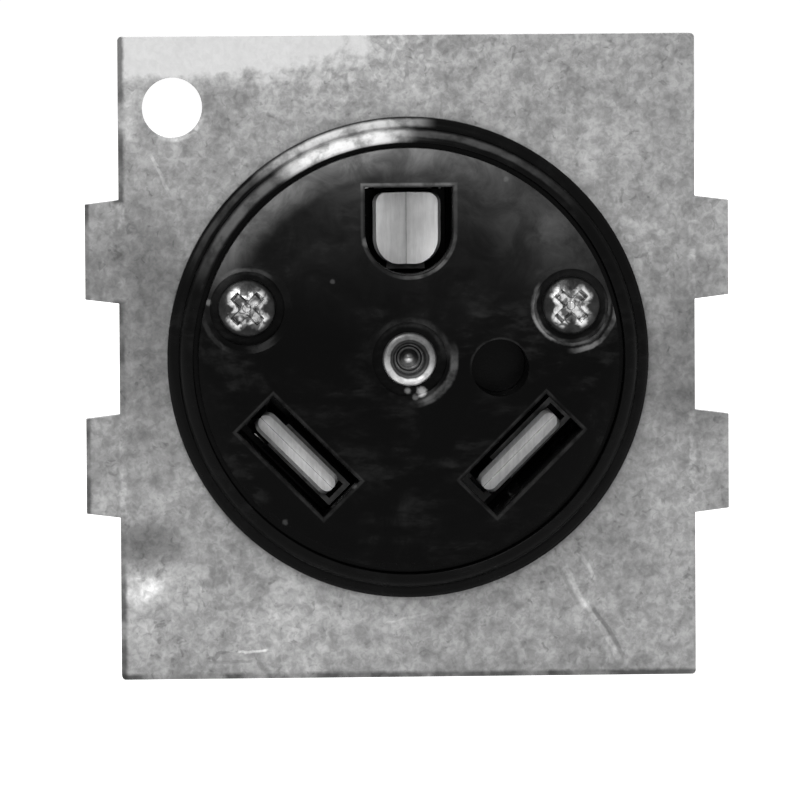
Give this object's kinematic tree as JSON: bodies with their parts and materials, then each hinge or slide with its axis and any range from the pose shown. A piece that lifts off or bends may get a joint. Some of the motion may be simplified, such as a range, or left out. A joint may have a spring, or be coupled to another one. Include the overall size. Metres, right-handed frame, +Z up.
{
  "type": "power socket",
  "caption": "Round black panel socket with two slanted blade windows and an arched earth window, on a rectangular galvanised plate with side tabs.",
  "frame": {"origin": "middle of the mounting plate's rear face", "axes": "+Z up, the socket faces -Y, +X to the right seen from the front"},
  "size_m": [0.0762, 0.0303, 0.0762],
  "materials": {
    "galvanised_steel": "dull hot-dip zinc with spangle, stains and scuffs",
    "black_phenolic": "moulded gloss, a little hazed and smudged",
    "plated_rivet": "bright nickel plate",
    "zinc_plated_steel": "bright zinc plate",
    "contact_brass": "tin-plated, satin",
    "spring_steel": "dark tempered"
  },
  "bodies": {
    "root": {"center_rivet": "plated_rivet", "cover_screw_left": "zinc_plated_steel", "cover_screw_right": "zinc_plated_steel", "front_cover": "black_phenolic", "ground_clamp_plate": "zinc_plated_steel", "ground_contact": "contact_brass", "ground_spring": "spring_steel", "ground_strap": "contact_brass", "ground_terminal_screw": "zinc_plated_steel", "hot_clamp_plate": "zinc_plated_steel", "hot_contact": "contact_brass", "hot_spring": "spring_steel", "hot_terminal_screw": "zinc_plated_steel", "mounting_plate": "galvanised_steel", "neutral_clamp_plate": "zinc_plated_steel", "neutral_contact": "contact_brass", "neutral_spring": "spring_steel", "neutral_terminal_screw": "zinc_plated_steel", "rear_housing": "black_phenolic", "rivet_washer": "zinc_plated_steel"}
  },
  "joints": []
}
